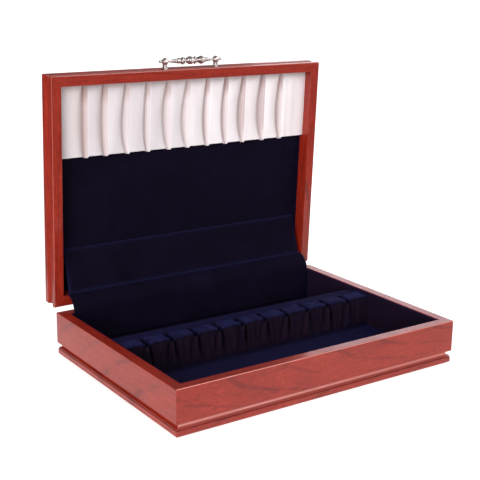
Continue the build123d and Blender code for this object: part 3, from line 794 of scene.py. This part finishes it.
def knife_band():
    """The pleated satin band: flat panels that roll over into the next pleat's straight fold."""
    low, high = lid_box("lid_knife_band")
    (left, hem), (right, top) = low[:2], high[:2]
    # depths of the flat cloth and of the board behind it
    face, behind = 12.9 * MM, 17.1 * MM
    folds = np.array([pleat[0] for pleat in PLEATS]) * MM
    rng = np.random.default_rng(3)
    v = [np.linspace(0, 0.05, 6)[:-1], np.linspace(0.05, 0.93, 34)[:-1], np.linspace(0.93, 1.0, 10)]
    v = np.concatenate(v)[None]
    parts = []
    for k, (start, end) in enumerate(zip([left, *folds], [*folds, right])):
        last = k == len(folds)
        peak = rng.uniform(0.50, 0.64)
        walls, rolls, reach, dark, core = PLEATS[min(k, len(folds) - 1)][1:]
        d_top, d_max, d_hem = rng.uniform(2.8, 3.2), rng.uniform(3.7, 4.1), rng.uniform(2.2, 2.7)
        crown = rng.uniform(0.15, 0.5)
        slant = rng.uniform(-0.35, 0.35)
        bow = rng.uniform(1.3, 1.9)

        def swell(at_top, most, at_hem):
            early = at_top + (most - at_top) * np.sin(np.pi / 2 * np.clip(v / peak, 0, 1)) ** 1.5
            late = at_hem + (most - at_hem) * np.cos(np.pi / 2 * np.clip((v - peak) / (1 - peak), 0, 1)) ** 0.55
            return np.where(v < peak, early, late) * MM

        crease, roll, depth = swell(*walls), swell(*rolls), swell(d_top, d_max, d_hem)
        middle = np.sin(np.pi * v)
        reach = reach * (0.45 + 0.55 * middle ** 0.8) * MM
        core = core if core < 1 else 0.5 + (core - 0.5) * middle ** 2
        near_top = fade(0.12, 0.34, v)
        core = core + (1.7 - np.minimum(core, 1.7)) * near_top
        dark = np.minimum(dark + 0.22 * near_top, 1.0)
        if last:
            crease, roll, depth = crease * 0, roll * 0, depth * 0
        flat_part = end - start - crease - roll
        q = np.array(PANEL_SHARES)[:, None]
        d = q * flat_part
        n = face - crown * MM * np.sin(np.pi * q) + slant * MM * (q - 0.5) + 0 * v
        n = n + 0.28 * MM * fade(0, 0.035, q)
        if last:
            # soft streaks of sheen, and the rail's shade at the end
            shade = (0.20 * bell(d / MM - 6.5, 1.6) + 0.15 * bell(d / MM - 18.0, 2.6)
                     + 0.75 * np.exp(-(flat_part - d) / (2.2 * MM))) + 0 * v
        else:
            shade = dark * np.exp(-(((1 - q) * flat_part + roll) / reach) ** 1.3)
        parts.append((start + d, n, shade))
        if not last:
            end_of_flat = face + slant * MM * 0.5
            q = np.linspace(0, 1, 11)[:-1][:, None]
            d = flat_part + q * roll
            n = end_of_flat + (depth - slant * MM * 0.5) * (q ** 1.6) + 0 * v
            parts.append((start + d, n, dark * np.exp(-((1 - q) * roll / reach) ** 1.3)))
            q = np.array(WALL_SHARES)[:, None]
            d = flat_part + roll + q * crease
            n = face + depth * (1 - q ** bow) + 0.10 * MM * smoothstep(0.75, 1, q) + 0 * v
            shade = dark * (0.50 * (1 - 0.4 * q) + 0.50 * bell(q, core)) + 0.12 * bell(q - 0.9, 0.07)
            parts.append((start + d, n, shade + 0 * v))
    parts.append([np.full(v.shape, value) for value in (right, face, 0.0)])
    x, n, fold = (np.concatenate(part) for part in zip(*parts))
    # soft creases in the cloth, mostly slanting
    inset = top - (top - hem) * np.broadcast_to(v, x.shape)
    slanting = [(x + 0.55 * inset) / (11 * MM), (inset - 0.3 * x) / (34 * MM)]
    slant_noise = value_noise(np.stack(slanting, -1), 13)
    small_noise = value_noise(np.stack([x / (4 * MM), inset / (19 * MM)], -1), 14)
    n = n + (0.16 * slant_noise + 0.05 * small_noise) * MM * smoothstep(0, 0.1, v)
    # the hem's stitched line, and the lump of folded layers at each pleat
    n = n + 0.18 * MM * bell(inset - hem - 3.2 * MM, 0.5 * MM)
    lump = np.zeros_like(x)
    for edge in folds:
        near = smoothstep(-6.6 * MM, -4.4 * MM, x - edge) * fade(0.3 * MM, 1.1 * MM, x - edge)
        lump = np.maximum(lump, near)
    inset = inset - 1.9 * MM * lump * smoothstep(0.93, 1.0, v)
    n = np.minimum(n, behind)
    # the rolled hem
    radius = np.clip((behind - n[:, -1:]) / 2, 0.15 * MM, 0.9 * MM)
    turn = np.radians(np.array([25, 50, 75, 100, 125, 155, 180]))[None, :]
    roll_inset = inset[:, -1:] - radius * np.sin(turn)
    roll_depth = n[:, -1:] + radius * (1 - np.cos(turn))
    flange_inset = inset[:, -1:] + np.array([2.0, 5.0])[None] * MM
    flange_depth = np.minimum(n[:, -1:] + 2 * radius, behind) + np.zeros((1, 2))
    x = np.concatenate([x, np.repeat(x[:, -1:], 9, 1)], 1)
    inset = np.concatenate([inset, roll_inset, flange_inset], 1)
    n = np.concatenate([n, roll_depth, flange_depth], 1)
    fold = np.concatenate([fold, np.repeat(fold[:, -1:] * 0.3, 7, 1), np.repeat(fold[:, -1:], 2, 1)], 1)
    piece = make_piece("lid_satin_band", lid_point(x, inset, n), grid_faces(*x.shape), SATIN, "lid")
    # painted shade under the top rail joins the crease shade in the mark fold; glow paints light along the left rail
    # and over the first panel
    drop = (top - inset) / (top - hem)
    under_rail = 0.62 * fade(-0.01, 0.17, drop) ** 1.6
    mark(piece, "fold", np.maximum(fold, under_rail))
    first = 0.2 * fade(-17 * MM, -7 * MM, x - folds[0])
    mark(piece, "glow", np.maximum(1.3 - (x - left) / (3.8 * MM), first))
    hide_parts("lid_knife_band")


knife_band()


# -------- ornate pull

def capped_faces(rings, sides):
    """Faces of a closed round form: a point, rings of points, and a point."""
    end = rings * sides + 1
    faces = [(0, 1 + (k + 1) % sides, 1 + k) for k in range(sides)]
    faces += grid_faces(rings, sides, first=1, wrap=True)
    faces += [(end, end - sides + k, end - sides + (k + 1) % sides) for k in range(sides)]
    return faces


def lathe(profile, centre, direction, sides=40):
    """Closed surface of revolution: profile is (distance along, radius) and starts and ends at radius 0."""
    direction = Vector(direction).normalized()
    side = direction.orthogonal().normalized()
    other = direction.cross(side)
    points = [Vector(centre) + direction * profile[0][0]]
    for along, radius in profile[1:-1]:
        for k in range(sides):
            turn = 2 * math.pi * k / sides
            out = radius * (math.cos(turn) * side + math.sin(turn) * other)
            points.append(Vector(centre) + direction * along + out)
    points.append(Vector(centre) + direction * profile[-1][0])
    return points, capped_faces(len(profile) - 2, sides)


def ellipsoid(centre, half, shear, rings=24, sides=36):
    """An ellipsoid along the bar whose top leans along the bar by shear."""
    points = []
    for i in range(rings + 1):
        polar = math.pi * i / rings
        for k in range(sides if 0 < i < rings else 1):
            turn = 2 * math.pi * k / sides
            rise = half[1] * math.sin(polar) * math.cos(turn)
            out = half[2] * math.sin(polar) * math.sin(turn)
            points.append((half[0] * math.cos(polar) + shear * rise, rise, out))
    return [tuple(a + b for a, b in zip(p, centre)) for p in points], capped_faces(rings - 1, sides)


def ring(centre, radius, thickness, shear, rings=48, sides=14):
    """A cord wound once round the bar, leaning along it by shear."""
    points = []
    for i in range(rings):
        turn = 2 * math.pi * i / rings
        for k in range(sides):
            small = 2 * math.pi * k / sides
            reach = radius + thickness * math.cos(small)
            rise, out = reach * math.cos(turn), reach * math.sin(turn)
            lean = thickness * math.sin(small) + shear * rise
            points.append((centre[0] + lean, centre[1] + rise, centre[2] + out))
    # the last row of faces joins the first ring
    return points, [tuple(i % len(points) for i in face) for face in grid_faces(rings + 1, sides, wrap=True)]


# the beads of the pull: place along the bar in mm, lean and half width in mm
BEADS = ((-12.0, -0.50, 3.9), (-1.2, 0.45, 3.5), (6.0, -0.50, 3.5), (15.4, 0.30, 3.9))


def pull():
    """Casts the pull: two ribbed arms with balls and finials, posts, and leaning beads, all in one skin."""
    low, high = lid_box("handle_bar")
    post_low, post_high = lid_box("handle_right_post")
    post_x = (post_low[0] + post_high[0]) / 2
    seat = lid_box("lid_front_rail")[1][1]
    bar_inset, bar_depth = (low[1] + high[1]) / 2, (low[2] + high[2]) / 2
    parts = []
    # along the bar in mm: the beads' end, the ball over the post, the finial's tip
    half, ball, tip = 18.2, post_x / MM, high[0] / MM
    side = [(half - 1.5, 0), (half - 1.4, 3.2), (half - 0.4, 3.75), (half + 0.6, 3.6), (half + 0.9, 3.2)]
    side += [(float(a), float(3.35 - 2.0 * ((a - half - 1.1) / (ball - 5.4 - half)) ** 0.8))
             for a in np.arange(half + 1.1, ball - 4.7, 0.35)]
    side += [(ball - 4.5, 1.7)]
    side += [(ball - 4.55 * math.cos(a), 4.55 * math.sin(a)) for a in np.radians(np.linspace(23, 158, 18)).tolist()]
    side += [(ball + 4.3, 1.7), (ball + 4.6, 1.0), (ball + 5.3, 0.95), (ball + 5.9, 1.5), (ball + 6.7, 2.0),
             (ball + 7.6, 2.0), (ball + 8.3, 1.5), (tip - 0.1, 0.7), (tip, 0)]
    for sign in (1, -1):
        own_points, own_faces = lathe([(a * MM, r * MM) for a, r in side], (0, 0, 0), (sign, 0, 0))
        # fine slanting ribs along the tapered arm
        for point in own_points:
            along, reach = abs(point.x) / MM, math.hypot(point.y, point.z)
            arm = smoothstep(half + 1.2, half + 2.2, along) * fade(ball - 6.5, ball - 5.2, along)
            if reach > 0 and arm > 0:
                turn = math.atan2(point.z, point.y)
                grow = 1 + 0.09 * float(arm) * math.sin(4 * turn + 2.1 * along)
                point.y, point.z = point.y * grow, point.z * grow
        parts.append((own_points, own_faces))
        drop = bar_inset - seat
        foot = [(-1.2, 0), (-1.2, 3.6), (0.5, 3.65), (0.8, 3.3), (1.1, 3.0), (3.0, 2.95), (drop / MM - 2.5, 3.0),
                (drop / MM + 0.5, 3.0), (drop / MM + 0.6, 0)]
        parts.append(lathe([(a * MM, r * MM) for a, r in foot], (sign * post_x, 0, -drop), (0, 0, 1)))
    core = [(-half, 0), (-half, 2.4), (-16, 2.6), (-9.6, 2.2), (-7.7, 1.5), (-5.8, 2.2), (1.6, 2.4), (8.4, 2.2),
            (9.8, 1.5), (11.2, 2.2), (16, 2.6), (half, 2.4), (half, 0)]
    parts.append(lathe([(a * MM, r * MM) for a, r in core], (0, 0, 0), (1, 0, 0)))
    for centre, shear, width in BEADS:
        parts.append(ellipsoid((centre * MM, 0, 0), (width * MM, 4.3 * MM, 3.9 * MM), shear))
        parts.append(ring((centre * MM, 0, 0), 3.7 * MM, 1.6 * MM, shear))
        for shift in (-2.75, 2.75):
            parts.append(ring(((centre + shift) * MM, 0, 0), 3.3 * MM, 0.75 * MM, shear))
    points, faces = [], []
    for own_points, own_faces in parts:
        faces += [tuple(i + len(points) for i in f) for f in own_faces]
        points += [tuple(p) for p in own_points]
    points = np.array(points)
    # own axes: x along the bar, y through the depth, z away from the lid
    points = lid_point(points[:, 0], bar_inset + points[:, 2], bar_depth - points[:, 1])
    piece = make_piece("pull_handle", points, faces, nickel(), "lid")
    remesh = piece.modifiers.new("cast", "REMESH")
    remesh.mode = "VOXEL"
    remesh.voxel_size = 0.24 * MM
    soften = piece.modifiers.new("polish", "SMOOTH")
    soften.factor, soften.iterations = 0.5, 3
    bpy.context.view_layer.update()
    shaped = bpy.data.meshes.new_from_object(piece.evaluated_get(bpy.context.evaluated_depsgraph_get()))
    piece.modifiers.clear()
    piece.data = shaped
    shaped.shade_smooth()
    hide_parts("handle_bar", "handle_left_post", "handle_right_post")


pull()


# -------- stage

def stage_plane(name, corners, material):
    mesh = bpy.data.meshes.new(name)
    mesh.from_pydata(corners, [], [(0, 1, 2, 3)])
    mesh.materials.append(material)
    piece = add(name, mesh)
    piece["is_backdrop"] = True
    return piece


def flat_card(x0, y0, x1, y1, height):
    return [(x0, y0, height), (x1, y0, height), (x1, y1, height), (x0, y1, height)]


def upright(x0, y0, x1, y1, height):
    """Corners of an upright card that stands on the floor between two places."""
    return [(x0, y0, 0), (x1, y1, 0), (x1, y1, height), (x0, y0, height)]


def stage_floor():
    """A plain pale floor, a hair under the chest's felt."""
    s = Shader("stage_white")
    faint = s.noise(s.coords(), 3.0, 2.0)
    s.surface(Base_Color=s.mix(faint, (0.62, 0.62, 0.62, 1), (0.64, 0.64, 0.64, 1)), Roughness=0.3,
              Specular_IOR_Level=0.15, Emission_Color=(1, 1, 1, 1), Emission_Strength=0.66)
    reach, below = 14.0, -0.0004
    stage_plane("stage_floor", flat_card(-reach, -reach, reach, reach, below), s.material)


def gloss_only(card):
    """Only glossy reflections see the card."""
    card.visible_camera = card.visible_diffuse = card.visible_shadow = card.visible_transmission = False


# corners of the black cards
FLAGS = {"front": flat_card(-0.5, -3.5, 2.4, -0.33, 0.001), "left": upright(-0.32, -0.05, -0.32, 1.2, 0.55),
         "back": upright(-1.2, 1.2, 0.85, 1.2, 0.72), "top": flat_card(-1.5, -0.5, 1.2, 1.2, 1.6)}


def stage_flags():
    """Black cards round the chest, which only the gloss sees, as a photographer's flags."""
    s = Shader("stage_black")
    dull = s.mix(s.noise(s.coords(), 9.0), (0.01, 0.01, 0.01, 1), (0.015, 0.015, 0.015, 1))
    s.surface(Base_Color=dull, Roughness=0.9)
    for name, corners in FLAGS.items():
        gloss_only(stage_plane("stage_flag_" + name, corners, s.material))


# bright cards: direction from the middle of the base, distance, half width, half height, strength, tint
CARDS = {"front": ((0.50, -0.81, 0.65), 2.6, 0.41, 0.52, 12.0, (1, 0.93, 0.96, 1)),
         "back": ((0.62, 0.70, 0.36), 2.4, 0.70, 0.60, 0.78, (1, 0.73, 0.87, 1)),
         "left": ((-0.62, -0.70, 0.28), 2.4, 0.60, 0.55, 3.5, (1, 1, 1, 1))}


def stage_cards():
    """Bright cards that only the gloss sees: they draw the lines along edges and coves and light the rims."""
    for name, (toward, distance, half_width, half_height, strength, tint) in CARDS.items():
        s = Shader("stage_glow_" + name)
        white = s.mix(s.noise(s.coords(), 2.0), (0.8, 0.8, 0.8, 1), (0.82, 0.82, 0.82, 1))
        s.surface(Base_Color=white, Roughness=0.9, Emission_Color=tint, Emission_Strength=strength)
        toward = Vector(toward).normalized()
        across = toward.cross(Vector((0, 0, 1))).normalized()
        above = across.cross(toward)
        corners = [distance * toward + half_width * a * across + half_height * b * above
                   for a, b in ((-1, -1), (1, -1), (1, 1), (-1, 1))]
        gloss_only(stage_plane("stage_card_" + name, [tuple(c) for c in corners], s.material))


def sun_light(name, source, strength, angle):
    """A soft sun from the direction of source, left out of the gloss, where the cards take its place."""
    data = bpy.data.lights.new(name, "SUN")
    data.energy = strength
    data.angle = math.radians(angle)
    light = add(name, data)
    light.rotation_euler = (-Vector(source)).to_track_quat("-Z", "Y").to_euler()
    light.visible_glossy = False


def lighting():
    """A white world that reflects dimmer away from the back right, and two soft suns."""
    world = bpy.data.worlds.new("studio")
    bpy.context.scene.world = world
    world.use_nodes = True
    w = Nodes(world.node_tree)
    toward = Vector((0.62, 0.75, 0.12)).normalized()
    direction = w.node("TexCoord").outputs["Generated"]
    along = w.node("VectorMath", {0: direction, 1: toward}, operation="DOT_PRODUCT").outputs["Value"]
    seen = w.node("LightPath").outputs["Is Camera Ray"]
    background = w.tree.nodes["Background"]
    w.feed(background.inputs["Strength"], w.math("MAXIMUM", w.fit(along, -0.6, 0.8, 0.20, 0.85), seen))
    background.inputs["Color"].default_value = (1, 1, 1, 1)
    sun_light("key_softbox", (-0.76, -0.62, 0.36), 3.1, 40)
    sun_light("rim_softbox", (0.9, -0.3, 0.5), 0.5, 40)


stage_floor()
stage_flags()
stage_cards()
lighting()
bpy.context.scene.view_settings.view_transform = "Standard"

bpy.context.view_layer.update()
low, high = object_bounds()
